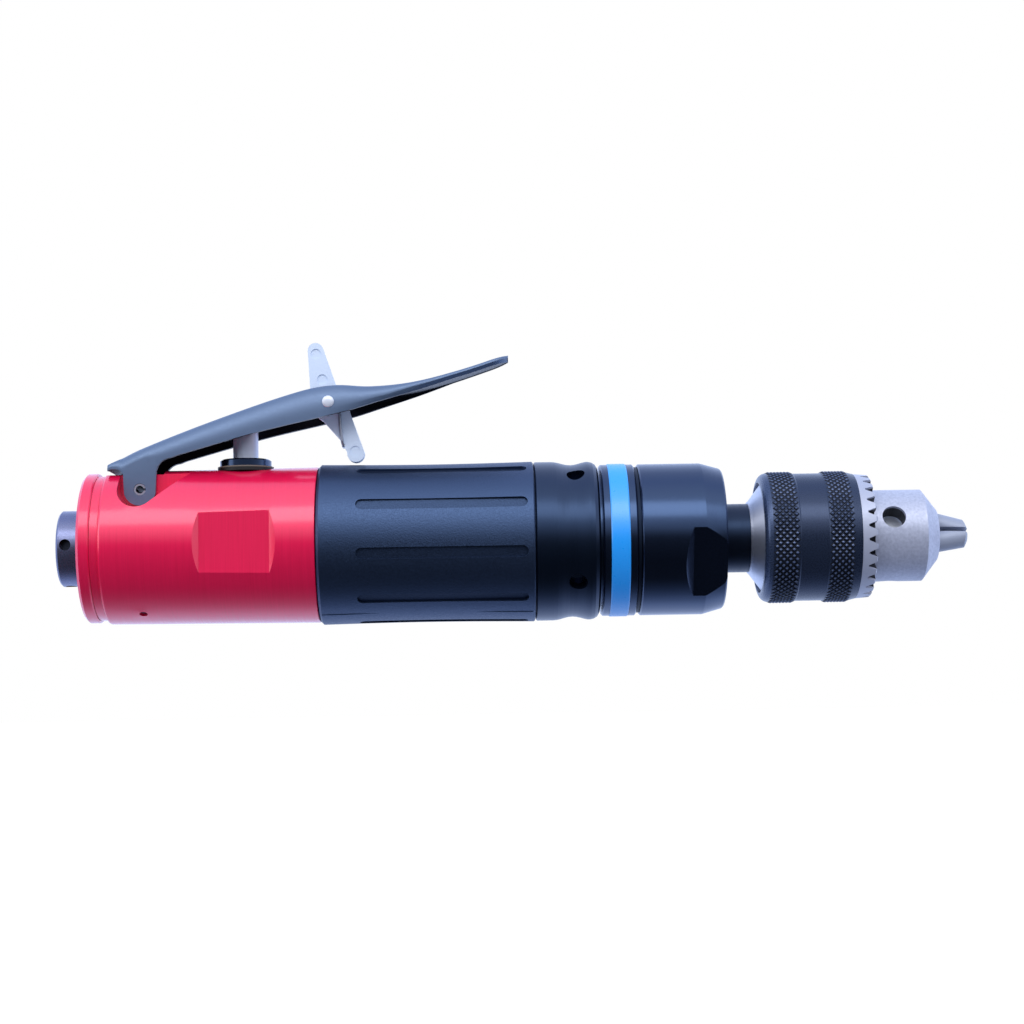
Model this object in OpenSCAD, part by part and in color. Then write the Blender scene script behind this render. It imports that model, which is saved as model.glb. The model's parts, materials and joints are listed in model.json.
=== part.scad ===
// Straight air drill with a lever throttle, a lock-off latch and a keyed chuck.
// Tool axis along X from the air inlet mouth at X = 0, lever on top (+Z). Sizes in mm.

/* [Air inlet] */
// outside diameter of the inlet bush
inlet_d = 19.5; // [17:0.1:22]
// how far the bush stands out of the exhaust cap
inlet_out = 6.75; // [6:0.25:12]
// plain bore that the hose thread is cut in
inlet_bore_d = 11.4; // [9:0.1:13]
// depth of the hose thread
inlet_bore_len = 12; // [10:0.5:13]
// pin spanner hole in the side of the bush
inlet_pin_d = 2.9; // [2:0.1:3.5]

/* [Handle] */
// exhaust cap diameter
cap_d = 38.4; // [36:0.1:39]
// exhaust cap length
cap_len = 3.25; // [2.5:0.25:5]
// handle diameter behind the lever
handle_rear_d = 39.2; // [38:0.1:41]
// handle diameter at the grip sleeve
handle_front_d = 40.0; // [39:0.1:41]
// length of the bare handle, from the cap to the grip sleeve
handle_len = 56.4; // [54:0.2:62]
// size across the two holding flats
handle_flat_af = 36.6; // [34:0.1:38]
// length of each holding flat
handle_flat_len = 17.6; // [12:0.2:20]

/* [Grip sleeve] */
// sleeve length
grip_len = 54.75; // [53:0.25:60]
// sleeve diameter at both ends
grip_d = 41.2; // [40.8:0.1:43]
// how much thinner the sleeve is half way along
grip_waist = 0.6; // [0:0.1:1.2]
// number of lengthwise grooves
groove_count = 10; // [6:1:14]
// groove width
groove_w = 2.9; // [1.5:0.1:4]
// groove depth
groove_depth = 0.8; // [0.3:0.1:1.2]

/* [Motor clamp and gear case] */
// length of the clamp collar
collar_len = 16.2; // [16:0.1:20]
// largest collar diameter
collar_d = 40.9; // [40:0.1:42]
// spanner holes round the collar
collar_hole_d = 4.6; // [3:0.1:5]
// visible length of the gear case
case_len = 8.7; // [8:0.1:12]
// gear case diameter
case_d = 39.0; // [38:0.1:40]
// width of the coloured speed band
band_w = 4.9; // [3:0.1:6]

/* [Nose and spindle] */
// nose diameter
nose_d = 39.0; // [38:0.1:40]
// nose length
nose_len = 21.6; // [21.6:0.1:28]
// length of the chamfer at the front of the nose
nose_chamfer = 5.4; // [2:0.2:6]
// size across the nose flats
nose_flat_af = 34.4; // [33:0.1:37]
// spindle diameter in front of the nose
spindle_d = 17.7; // [16:0.1:17.9]
// bare spindle length
spindle_out = 6.9; // [4:0.1:12]

/* [Chuck] */
// largest diameter of the key sleeve
sleeve_d = 33.3; // [33:0.1:35]
// length of the key sleeve with its tooth ring
sleeve_len = 28.4; // [28:0.2:31]
// chuck body diameter
chuck_d = 23.65; // [23.4:0.05:24.4]
// chuck body length
chuck_len = 48.6; // [48:0.1:52]
// teeth for the chuck key
key_teeth = 28; // [20:1:34]
// pilot hole for the chuck key
key_hole_d = 6.0; // [4:0.5:6]
// jaw diameter
jaw_d = 5.8; // [5:0.1:6]
// opening between the jaws as drawn
jaw_opening = 1.4; // [0.6:0.1:3]
// largest opening
jaw_open_max = 8; // [6:0.5:8]

/* [Lever and latch] */
// lever width
lever_w = 18; // [17:0.2:19]
// lever sheet thickness
lever_t = 1.5; // [1.2:0.1:1.8]
// lever pin diameter
lever_pin_d = 3.0; // [2.5:0.1:3.2]
// latch blade thickness
latch_t = 4; // [3:0.2:4.6]
// latch pin diameter
latch_pin_d = 3.0; // [2.5:0.1:3.2]

/* [Throttle valve] */
// plunger diameter
plunger_d = 6.5; // [6:0.1:6.6]
// valve bush flange diameter
bush_flange_d = 13.2; // [12:0.1:13.4]

/* [Gears] */
// gear module
gear_m = 0.55; // [0.5:0.01:0.56]
// sun pinion teeth
sun_z = 12; // [12:3:15]
// planet gear teeth
planet_z = 18; // [18:3:21]

/* [Clearances] */
// radial clearance of a running fit
run_gap = 0.05; // [0.02:0.01:0.1]
// gap between pieces that are screwed or pressed together
seat_gap = 0.05; // [0.02:0.01:0.1]
// flank clearance of the gears
backlash = 0.16; // [0.1:0.02:0.24]

/* [Hidden] */
$fn = 72;

// stations along the tool axis
x_cap = inlet_out;
x_handle = x_cap + cap_len + seat_gap;
x_body = x_handle + 2.4;
x_grip = x_handle + handle_len;
x_collar = x_grip + grip_len + 0.4;
x_case = x_collar + collar_len + 0.6;
x_nose = x_case + case_len + 1.0;
x_spindle = x_nose + nose_len;
x_chuck = x_spindle + spindle_out;
x_sleeve = x_chuck + 2.8;
x_sleeve_end = x_sleeve + sleeve_len;
x_front = x_chuck + chuck_len;

// motor stations
x_motor = x_grip + 1.2;
x_cyl = x_motor + 8;
x_plate = x_collar - 2.6;
x_tube_end = x_collar + 8.4;
motor_r = 16.4;
tube_r = 18.4;
spigot_r = 17.6;
rotor_r = 10.7;
cyl_r = 12.2;
cyl_shift = cyl_r - rotor_r - 0.1;
shaft_r = 4.0;

// gear stations
sun_r = gear_m * sun_z / 2;
planet_r = gear_m * planet_z / 2;
ring_z = sun_z + 2 * planet_z;
ring_r = gear_m * ring_z / 2;
orbit_r = sun_r + planet_r;
x_gear = x_tube_end + 5;
gear_w = 9;
x_carrier = x_gear + gear_w + 0.3;
case_bore_r = ring_r + 2.45;
case_spigot_r = 17.1;
x_retainer = x_nose + 5.9;
x_bearing = x_nose + 7.15;
bearing_r = 14;
journal_r = 9.0;

// lever and latch stations
hinge_x = x_handle + 11.25;
hinge_z = handle_rear_d / 2 - 5.3;
latch_x = hinge_x + 48;
latch_z = hinge_z + 21.8;
valve_x = hinge_x + 26;
lever_in_w = lever_w - 2 * lever_t;
lug_w = lever_in_w - 0.5;
spot_z = handle_rear_d / 2 - 0.5;
exhaust_r = handle_rear_d / 2 - 2.4;
lock_len = 6;
lock_sink = 0.7;

// chuck stations
chuck_turn = -21;
jaw_tilt = 15;
jaw_r = jaw_d / 2;
jaw_out_front = 5.4;
jaw_tip_x = x_front + 8.1;
jaw_back_x = x_sleeve + 21.6;
jaw_travel = (jaw_open_max - jaw_opening) / 2 / sin(jaw_tilt);
x_nut = jaw_back_x - 1.25;
nut_len = 4;
nut_r = 15.3;
function jaw_out(x) = jaw_out_front + (x_front + 1.3 - x) * tan(jaw_tilt);
function jaw_mid(x) = jaw_out(x) - jaw_r / cos(jaw_tilt);

// smooth curve through a short list of points, read at x
function seg(p, x, i = 0) = (i >= len(p) - 2 || x < p[i + 1][0]) ? i : seg(p, x, i + 1);
function slope(p, i) = let (a = max(0, i - 1), b = min(len(p) - 1, i + 1))
  (p[b][1] - p[a][1]) / (p[b][0] - p[a][0]);
function curve(p, x) = let (i = seg(p, x), h = p[i + 1][0] - p[i][0], t = (x - p[i][0]) / h)
  p[i][1] * (2 * t * t * t - 3 * t * t + 1) + p[i + 1][1] * (3 * t * t - 2 * t * t * t)
  + h * slope(p, i) * (t * t * t - 2 * t * t + t) + h * slope(p, i + 1) * (t * t * t - t * t);

// lever outline from the hinge: top of the pressing, then lower edge of its side walls
lever_top = [[-8.2, 6.5], [0, 10.6], [20.2, 18.3], [40.8, 25.0], [49.6, 26.4], [58.8, 25.9],
  [69.2, 26.8], [81, 29.8], [94.3, 34.1]];
lever_low = [[4.1, 7.2], [30, 14.3], [52.6, 19.4], [60.4, 21.7], [74, 25.8], [94.3, 33]];
lever_end = 94.3;
lever_tip_r = 5.0;
lever_taper_x = 56;

// involute tooth outline; add and ded are the tooth's height above and below the pitch circle
function inv_deg(a) = tan(a) * 180 / PI - a;
function flank(z, rp, r, thin) = let (rb = rp * cos(20), a = r > rb ? acos(rb / r) : 0)
  90 / z - thin / rp * 90 / PI + inv_deg(20) - inv_deg(a);
function tooth_radii(rp, add, ded) = let (rb = rp * cos(20), lo = max(rp - ded, rb))
  concat(rp - ded < rb ? [rp - ded] : [], [for (i = [0 : 4]) lo + (rp + add - lo) * i / 4]);
function gear_outline(z, m, add, ded, thin) = let (rp = m * z / 2, rr = tooth_radii(rp, add, ded))
  [for (k = [0 : z - 1]) each concat(
    [for (i = [0 : len(rr) - 1]) let (a = k * 360 / z - flank(z, rp, rr[i], thin)) rr[i] * [cos(a), sin(a)]],
    [for (i = [len(rr) - 1 : -1 : 0]) let (a = k * 360 / z + flank(z, rp, rr[i], thin))
      rr[i] * [cos(a), sin(a)]])];

// a solid of revolution on the tool axis from [x, r] points
module turned(points) {
  rotate([0, 90, 0]) rotate_extrude($fn = 96) polygon([for (p = points) [p[1], p[0]]]);
}

// a plain round bar on the tool axis
module bar(r, x0, x1) {
  translate([x0, 0, 0]) rotate([0, 90, 0]) cylinder(r = r, h = x1 - x0);
}

// a ring on the tool axis
module ring(ro, ri, x0, x1) {
  turned([[x0, ri], [x1, ri], [x1, ro], [x0, ro]]);
}

// a flat outline in X and Z, given thickness across the tool
module plate(w) {
  rotate([90, 0, 0]) linear_extrude(w, center = true) children();
}

// a gear outline run along the tool axis
module gear_bar(points, x0, x1) {
  translate([x0, 0, 0]) rotate([0, 90, 0]) linear_extrude(x1 - x0) polygon(points);
}

// round wire along a list of points
function unit(v) = v / norm(v);
module wire(path, r, sides = 8) {
  n = len(path);
  rings = [for (i = [0 : n - 1]) let (
      t = unit(path[min(n - 1, i + 1)] - path[max(0, i - 1)]),
      s = abs(t[1]) < 0.8 ? [0, 1, 0] : [1, 0, 0],
      u = unit(cross(s, t)), v = cross(t, u))
    each [for (k = [0 : sides - 1]) path[i] + r * (u * cos(k * 360 / sides) + v * sin(k * 360 / sides))]];
  polyhedron(points = rings, faces = concat(
    [[for (k = [0 : sides - 1]) k]],
    [[for (k = [sides - 1 : -1 : 0]) (n - 1) * sides + k]],
    [for (i = [0 : n - 2], k = [0 : sides - 1]) let (q = (k + 1) % sides)
      [i * sides + q, i * sides + k, (i + 1) * sides + k, (i + 1) * sides + q]]), convexity = 10);
}

// ball bearing pieces, drawn at x with width w between a bore and an outside radius
module bearing_outer(x, w, ri, ro) {
  mid = (ri + ro) / 2;
  ball = (ro - ri) * 0.3;
  rotate([0, 90, 0]) rotate_extrude() difference() {
    translate([mid + ball * 0.55, x]) square([ro - mid - ball * 0.55, w]);
    translate([mid, x + w / 2]) circle(r = ball + 0.04);
  }
}

module bearing_inner(x, w, ri, ro) {
  mid = (ri + ro) / 2;
  ball = (ro - ri) * 0.3;
  rotate([0, 90, 0]) rotate_extrude() difference() {
    translate([ri, x]) square([mid - ball * 0.55 - ri, w]);
    translate([mid, x + w / 2]) circle(r = ball + 0.04);
  }
}

module bearing_balls(x, w, ri, ro, count) {
  for (i = [0 : count - 1])
    rotate([i * 360 / count, 0, 0]) translate([x + w / 2, (ri + ro) / 2, 0]) sphere(r = (ro - ri) * 0.3, $fn = 32);
}

// Handle

handle_slope = (handle_front_d - handle_rear_d) / 2 / (x_grip - x_body);

module handle_outline() {
  turned([[x_handle, 0], [x_handle, handle_rear_d / 2 - 1], [x_body - 0.4, handle_rear_d / 2 - 1],
    [x_body, handle_rear_d / 2 - 0.2], [x_body + 0.4, handle_rear_d / 2], [x_grip - 0.3, handle_front_d / 2],
    [x_grip, handle_front_d / 2 - 0.3], [x_grip, tube_r], [x_collar, tube_r], [x_collar, spigot_r],
    [x_tube_end, spigot_r], [x_tube_end, 0]]);
}

// milled pocket beside the lever lug
module lug_pocket(side) {
  translate([0, side * (lug_w / 2 + 12), 0]) plate(24) {
    translate([hinge_x, hinge_z]) circle(r = 5);
    polygon([[hinge_x - 5, hinge_z], [hinge_x + 3.2, hinge_z - 3.84], [hinge_x + 15.5, hinge_z + 6.5],
      [hinge_x + 15.5, handle_rear_d], [hinge_x - 5, handle_rear_d]]);
  }
}

module side_flat(x0, x1, d, reach) {
  translate([0, 0, -reach]) linear_extrude(2 * reach)
    polygon([[x0, d], [x1, d], [x1 + 4, d + 4], [x0 - 4, d + 4]]);
}

module handle() {
  flat_x = valve_x - 1.2;
  color([0.72, 0.09, 0.27]) difference() {
    handle_outline();
    bar(motor_r, x_motor, x_tube_end + 1);
    bar(8.0, x_handle - 1, x_handle + 13.4);
    bar(4.5, x_handle + 13, valve_x - 3);
    ring(exhaust_r, 11.5, x_handle - 1, x_handle + 4.6);
    for (t = [195 : 25 : 345])
      translate([0, 14.5 * cos(t), 14.5 * sin(t)]) bar(1.5, x_handle + 4, x_motor + 1);
    translate([0, 0, 9]) bar(2.2, valve_x, x_motor + 1);
    for (s = [-1, 1]) lug_pocket(s);
    translate([x_handle - 1, -15, spot_z - 0.9]) cube([hinge_x + 7 - x_handle, 30, handle_rear_d]);
    translate([valve_x, 0, spot_z]) cylinder(r = 8, h = handle_rear_d);
    translate([valve_x, 0, 4]) cylinder(r = 5.6, h = handle_rear_d);
    translate([valve_x, 0, -8]) cylinder(r = 4.2, h = 20);
    translate([hinge_x, lever_w, hinge_z]) rotate([90, 0, 0]) cylinder(d = lever_pin_d + 2 * 0.02, h = 2 * lever_w);
    for (s = [0, 180]) rotate([s, 0, 0])
      side_flat(flat_x - handle_flat_len / 2, flat_x + handle_flat_len / 2, handle_flat_af / 2, 15);
    rotate([62, 0, 0]) translate([hinge_x + 0.9, -handle_rear_d / 2 + lock_sink + lock_len + 0.3, 0])
      rotate([90, 0, 0]) cylinder(d = 2.1, h = lock_len + 8);
  }
}

module lock_screw() {
  color([0.2, 0.2, 0.22]) rotate([62, 0, 0]) translate([hinge_x + 0.9, -handle_rear_d / 2 + lock_sink, 0])
    rotate([-90, 0, 0]) cylinder(d = 2.0, h = lock_len);
}

module exhaust_cap() {
  r = cap_d / 2;
  color([0.72, 0.09, 0.27]) difference() {
    turned([[x_cap, 8.05], [x_cap, r - 0.7], [x_cap + 0.7, r], [x_cap + cap_len - 0.3, r],
      [x_cap + cap_len, r - 0.3], [x_cap + cap_len, 8.05]]);
    for (i = [0 : 17]) rotate([i * 20, 0, 0]) translate([0, 14.3, 0]) bar(1.3, x_cap - 1, x_cap + cap_len + 1);
  }
}

module exhaust_silencer() {
  color([0.45, 0.45, 0.43]) ring(exhaust_r - 0.1, 11.6, x_handle + 0.1, x_handle + 4.5);
}

module inlet_bush() {
  r = inlet_d / 2;
  color([0.13, 0.15, 0.2]) difference() {
    turned([[0, 0], [0, r - 0.5], [0.5, r], [inlet_out - seat_gap, r], [inlet_out - seat_gap, 7.95],
      [x_handle + 13, 7.95], [x_handle + 13, 0]]);
    bar(inlet_bore_d / 2, -1, inlet_bore_len);
    bar(inlet_bore_d / 2 - 0.5, 0, inlet_bore_len + 2.8);
    bar(4.5, 0, x_handle + 14);
    for (s = [0 : 90 : 270]) rotate([s - 3, 0, 0]) translate([inlet_out * 0.36, -r - 1, 0])
      rotate([-90, 0, 0]) cylinder(d = inlet_pin_d, h = 3.6);
  }
}

module inlet_screen() {
  x = inlet_bore_len + 1.2;
  color([0.6, 0.6, 0.62]) difference() {
    bar(inlet_bore_d / 2 - 0.5 - seat_gap, x, x + 1.2);
    for (i = [-3 : 3], j = [-3 : 3]) if (norm([i, j]) < 3.4)
      translate([0, i * 1.4, j * 1.4]) bar(0.45, x - 1, x + 3);
  }
}

// Throttle valve

module valve_bush() {
  color([0.08, 0.09, 0.12]) translate([valve_x, 0, 0]) difference() {
    union() {
      translate([0, 0, 4.2]) cylinder(r = 5.55, h = spot_z - 2);
      translate([0, 0, spot_z + 1.3]) cylinder(d = bush_flange_d, h = 1.5);
      translate([0, 0, spot_z + 2.8]) cylinder(d1 = bush_flange_d, d2 = bush_flange_d - 1.2, h = 0.4);
    }
    translate([0, 0, 8]) cylinder(r = plunger_d / 2 + run_gap, h = 30);
    translate([0, 0, 4]) cylinder(r = 2.9, h = 5);
    for (a = [0 : 90 : 270]) rotate([0, 0, a]) translate([0, 0, 6.4]) rotate([0, 90, 0]) cylinder(r = 1.1, h = 9);
  }
}

module valve_washer() {
  color([0.16, 0.16, 0.12]) translate([valve_x, 0, spot_z + 0.05]) difference() {
    cylinder(r = 7.2, h = 1.2);
    translate([0, 0, -1]) cylinder(r = 5.65, h = 4);
  }
}

// the lever's inner face over the plunger, and the ball end that it rests on
lever_deg = atan((curve(lever_top, 27) - curve(lever_top, 25)) / 2);
dome_r = 8;
dome_z = hinge_z + curve(lever_top, 26) - (lever_t + dome_r + 0.12) / cos(lever_deg);

module valve_plunger() {
  color([0.72, 0.72, 0.74]) translate([valve_x, 0, 0]) union() {
    intersection() {
      translate([0, 0, 10.6]) cylinder(d = plunger_d, h = 40);
      translate([0, 0, dome_z]) union() {
        sphere(r = dome_r);
        translate([0, 0, -30]) cylinder(r = dome_r, h = 30);
      }
    }
    translate([0, 0, 3]) cylinder(r = 1.8, h = 8);
    translate([0, 0, 1.2]) cylinder(r = 3.9, h = 2.8);
  }
}

module valve_spring() {
  turns = 5;
  steps = 14;
  color([0.6, 0.6, 0.62]) wire([for (i = [0 : turns * steps]) let (a = i * 360 / steps)
    [valve_x + 2.9 * cos(a), 2.9 * sin(a), -7.4 + 8.0 * i / (turns * steps)]], 0.45, 6);
}

// Lever, latch and their pins

// lower edge of the pressing at x from the hinge: rear visor, round ear, fillet, then the side wall
function lever_edge(x) = x < -6.3 ? 5.3 : x < -4.1 ? 3.1 + sqrt(max(0, 4.84 - pow(x + 6.3, 2)))
  : x < 4.1 ? -sqrt(max(0, 16.81 - x * x)) : x < 8.3 ? 3.9 + sqrt(max(0, 17.64 - pow(x - 8.3, 2)))
  : curve(lever_low, x);

// stations where the section is drawn
tip_x = lever_end - lever_tip_r;
lever_x = concat([-8.2, -7.2, -6.3, -5.2, -4.5, -4.15], [for (a = [180 : 30 : 360]) 4.1 * cos(a)],
  [4.2, 4.7, 5.8, 8.3], [for (i = [1 : 17]) 8.3 + (tip_x - 8.3) * i / 17],
  [for (a = [25 : 20 : 85]) tip_x + lever_tip_r * sin(a)]);

// round-shouldered section: half width, shoulder radius, top and lower edge
function shoulder(w, r, top, low) = concat([[-w, low]],
  [for (a = [180 : -30 : 90]) [-w + r + r * cos(a), top - r + r * sin(a)]],
  [for (a = [90 : -30 : 0]) [w - r + r * cos(a), top - r + r * sin(a)]], [[w, low]]);
function ease(t) = t * t * (3 - 2 * t);
function lever_half(x) = x < lever_taper_x ? lever_w / 2
  : x < tip_x ? lever_w / 2 - (lever_w / 2 - lever_tip_r) * ease((x - lever_taper_x) / (tip_x - lever_taper_x))
  : max(lever_t + 0.3, sqrt(max(0, pow(lever_tip_r, 2) - pow(x - tip_x, 2))));
function turned_round(p) = [for (i = [len(p) - 1 : -1 : 0]) p[i]];
function lever_section(x) = let (w = lever_half(x), top = curve(lever_top, x),
    low = min(lever_edge(x), top - lever_t - 0.15), r = min(3.2, w * 0.4, top - low - 0.5),
    ri = min(max(0.4, r - lever_t), w - lever_t - 0.05, (top - lever_t - low) * 0.8))
  concat(shoulder(w, r, top, low), turned_round(shoulder(w - lever_t, ri, top - lever_t, low)));

module lever_pressing() {
  n = len(lever_x);
  m = 20;
  pts = [for (x = lever_x) each [for (p = lever_section(x)) [hinge_x + x, p[0], hinge_z + p[1]]]];
  polyhedron(points = pts, faces = concat(
    [for (k = [0 : 8]) [k, k + 1, m - 2 - k, m - 1 - k]],
    [for (k = [0 : 8]) let (o = (n - 1) * m) [o + m - 1 - k, o + m - 2 - k, o + k + 1, o + k]],
    [for (i = [0 : n - 2], k = [0 : m - 1]) let (q = (k + 1) % m)
      [i * m + q, i * m + k, (i + 1) * m + k, (i + 1) * m + q]]), convexity = 10);
}

module lever() {
  color([0.36, 0.4, 0.52]) difference() {
    lever_pressing();
    translate([hinge_x, lever_w, hinge_z]) rotate([90, 0, 0]) cylinder(d = lever_pin_d + 2 * run_gap, h = 2 * lever_w);
    translate([latch_x, lever_w, latch_z]) rotate([90, 0, 0]) cylinder(d = latch_pin_d + 2 * 0.02, h = 2 * lever_w);
    translate([latch_x - 10.4, -latch_t / 2 - 0.4, latch_z - 2]) cube([15.8, latch_t + 0.8, 20]);
  }
}

module lever_pin() {
  l = lever_w - 0.3;
  color([0.62, 0.62, 0.64]) translate([hinge_x, l / 2, hinge_z]) rotate([90, 0, 0]) difference() {
    cylinder(d = lever_pin_d, h = l);
    translate([0, 0, -1]) cylinder(d = lever_pin_d * 0.55, h = l + 2);
    translate([0, -0.3, -1]) cube([lever_pin_d, 0.6, l + 2]);
  }
}

module latch_pin() {
  color([0.72, 0.72, 0.75]) translate([latch_x, 0, latch_z]) rotate([90, 0, 0]) {
    cylinder(d = latch_pin_d, h = lever_w, center = true);
    for (s = [0, 180]) rotate([s, 0, 0]) translate([0, 0, lever_w / 2]) cylinder(d1 = latch_pin_d, d2 = latch_pin_d - 0.8, h = 0.35);
  }
}

// blade outline round its pin: grip end above, stop leg below
latch_deg = 27.1;
latch_tip_r = 2.2;
latch_leg = (latch_z - grip_d / 2 - latch_tip_r - 0.6) / cos(latch_deg);

// where the spring end hooks the leg, from the tip
notch_at = [-3.25, 2.1];

module latch_blade() {
  tip = latch_leg * [sin(latch_deg), -cos(latch_deg)];
  difference() {
    union() {
      translate([-3.6, 14.2]) circle(r = 2.0);
      translate(tip) circle(r = latch_tip_r);
      circle(r = 4.4);
      polygon([[-5.6, 14.2], [-5.0, 3.6], [-4.2, -1.2], [-2.5, -3.3], tip + [-3.9, 3.6], tip + [-2.18, 0.3],
        tip + [2.1, -0.6], tip + [2.12, 0.6], [5.2, -2.4], [4.2, 1.4], [1.6, 5.0], [-1.67, 14.7],
        [-3.6, 16.2]]);
    }
    translate(tip + notch_at) circle(r = 0.55);
    circle(d = latch_pin_d + 2 * run_gap);
  }
}

module latch() {
  tip = latch_leg * [sin(latch_deg), -cos(latch_deg)];
  color([0.55, 0.58, 0.66]) translate([latch_x, 0, latch_z]) difference() {
    plate(latch_t) latch_blade();
    for (s = [-1, 1], p = [[-3.5, 13.3], [-1.9, 6.6], tip + [-0.1, 0.6]])
      translate([p[0], s * latch_t / 2, p[1]]) rotate([90, 0, 0]) cylinder(r = 1.35, h = 0.5, center = true);
  }
}

module latch_spring() {
  steps = 16;
  turns = 3;
  r = 2.35;
  hook = latch_leg * [sin(latch_deg), -cos(latch_deg)] + notch_at;
  coil = [for (i = [0 : turns * steps]) let (a = 20 - i * 360 / steps)
    [r * cos(a), -6.2 + 3.6 * i / (turns * steps), r * sin(a)]];
  color([0.5, 0.5, 0.53]) translate([latch_x, 0, latch_z]) wire(concat(
    [[5.6, -6.25, 0.2], [3.6, -6.22, 0.5]], coil,
    [[2.4, -2.55, -1.6], [2.6, -2.5, hook[1] * 0.5], [hook[0] - 0.2, -2.48, hook[1] + 1.2], [hook[0], -2.2, hook[1] + 0.3],
      [hook[0], -1.4, hook[1]], [hook[0], 1.4, hook[1]], [hook[0], latch_t / 2 + 0.5, hook[1]]]), 0.38);
}

// Grip sleeve

module grip_sleeve() {
  x0 = x_grip + 0.15;
  n = 10;
  r = grip_d / 2;
  color([0.07, 0.08, 0.11]) difference() {
    turned(concat([[x0, tube_r + seat_gap], [x0, r - 0.6], [x0 + 0.6, r]],
      [for (i = [1 : n - 1]) [x0 + 0.6 + (grip_len - 1.1) * i / n, r - grip_waist / 2 * sin(180 * i / n)]],
      [[x0 + grip_len - 0.3, r], [x0 + grip_len, r - 0.3], [x0 + grip_len, tube_r + seat_gap]]));
    for (i = [0 : groove_count - 1]) rotate([10 + i * 360 / groove_count, 0, 0])
      translate([x_grip + 10, -r + groove_depth, 0]) rotate([90, 0, 0]) linear_extrude(5) {
        translate([groove_w / 2, -groove_w / 2]) square([grip_len - 11.6 - groove_w, groove_w]);
        translate([groove_w / 2, 0]) circle(d = groove_w);
        translate([grip_len - 11.6 - groove_w / 2, 0]) circle(d = groove_w);
      }
  }
}

// Vane motor

module end_plate(x0, x1, pocket_x) {
  difference() {
    bar(motor_r - seat_gap, x0, x1);
    bar(shaft_r + 0.6, x0 - 1, x1 + 1);
    bar(9.5 + 0.03, pocket_x, pocket_x + 6.1);
    translate([-5, -6, -motor_r - 4]) cube([x1 + 10, 12, 5.6]);
    translate([0, 9.5 * sin(60), 12.5]) bar(1.02, x0 - 1, x1 + 1);
  }
}

module rear_end_plate() {
  color([0.5, 0.5, 0.52]) difference() {
    end_plate(x_motor + seat_gap, x_cyl, x_motor - 0.1);
    translate([0, 0, 9]) bar(2.2, x_motor - 1, x_cyl + 1);
  }
}

module motor_cylinder() {
  color([0.55, 0.55, 0.57]) difference() {
    bar(motor_r - seat_gap, x_cyl, x_plate);
    translate([0, 0, cyl_shift]) bar(cyl_r, x_cyl - 1, x_plate + 1);
    translate([x_cyl - 1, -6, -motor_r - 4]) cube([x_plate - x_cyl + 2, 12, 5.6]);
    for (i = [0 : 4]) translate([x_cyl + 9 + i * (x_plate - x_cyl - 18) / 4, 0, -20]) cylinder(r = 1.6, h = 14);
    translate([0, 9.5 * sin(60), 12.5]) bar(1.02, x_cyl - 1, x_plate + 1);
  }
}

module front_end_plate() {
  color([0.5, 0.5, 0.52]) end_plate(x_plate, x_tube_end - seat_gap, x_tube_end - 6.1);
}

module cylinder_dowel() {
  color([0.65, 0.65, 0.67]) translate([0, 9.5 * sin(60), 12.5]) bar(1.0, x_motor + 1, x_tube_end - 2);
}

module rotor() {
  color([0.42, 0.43, 0.46]) difference() {
    union() {
      bar(rotor_r, x_cyl + 0.1, x_plate - 0.1);
      bar(shaft_r, x_motor + 0.3, x_tube_end - 0.2);
      rotate([15, 0, 0]) gear_bar(gear_outline(sun_z, gear_m, 0.9 * gear_m, 1.25 * gear_m, backlash),
        x_tube_end - 0.4, x_gear + gear_w - 0.1);
    }
    for (i = [0 : 4]) rotate([i * 72, 0, 0]) translate([x_cyl - 1, -1.05, 5.1])
      cube([x_plate - x_cyl + 2, 2.1, 10]);
  }
}

module rotor_vanes() {
  color([0.3, 0.2, 0.12]) for (i = [0 : 4]) rotate([i * 72, 0, 0])
    translate([x_cyl + 0.2, -1, 5.2]) cube([x_plate - x_cyl - 0.4, 2, rotor_r - 0.06 - 5.2]);
}

module rotor_bearing_outer_rings() {
  color([0.7, 0.7, 0.72]) {
    bearing_outer(x_motor + seat_gap, 5.9, shaft_r, 9.5);
    bearing_outer(x_tube_end - 6.05, 5.9, shaft_r, 9.5);
  }
}

module rotor_bearing_inner_rings() {
  color([0.7, 0.7, 0.72]) {
    bearing_inner(x_motor + seat_gap, 5.9, shaft_r + 0.02, 9.5);
    bearing_inner(x_tube_end - 6.05, 5.9, shaft_r + 0.02, 9.5);
  }
}

module rotor_bearing_balls() {
  color([0.8, 0.8, 0.82]) {
    bearing_balls(x_motor + seat_gap, 5.9, shaft_r, 9.5, 8);
    bearing_balls(x_tube_end - 6.05, 5.9, shaft_r, 9.5, 8);
  }
}

// Clamp collar, gear case and reduction gear

module clamp_collar() {
  r = collar_d / 2;
  x1 = x_collar + collar_len;
  dip = 0.9;
  color([0.08, 0.09, 0.13]) difference() {
    turned(concat([[x_collar, spigot_r + seat_gap], [x_collar, r - 0.3], [x_collar + 0.3, r], [x_collar + 4.4, r]],
      [for (i = [1 : 9]) [x_collar + 4.4 + i, r - dip * (1 - cos(36 * i)) / 2]],
      [[x1 - 2.2, r - 0.1], [x1 - 1.3, r - 0.3], [x1 - 0.5, r - 0.8], [x1, r - 1.6], [x1, case_spigot_r + seat_gap],
        [x_tube_end, case_spigot_r + seat_gap], [x_tube_end, spigot_r + seat_gap]]));
    for (i = [0 : 3]) rotate([35 + 90 * i, 0, 0]) translate([x_collar + 10.4, -r - 2, 0]) rotate([-90, 0, 0])
      cylinder(d = collar_hole_d, h = 7);
  }
}

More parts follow.
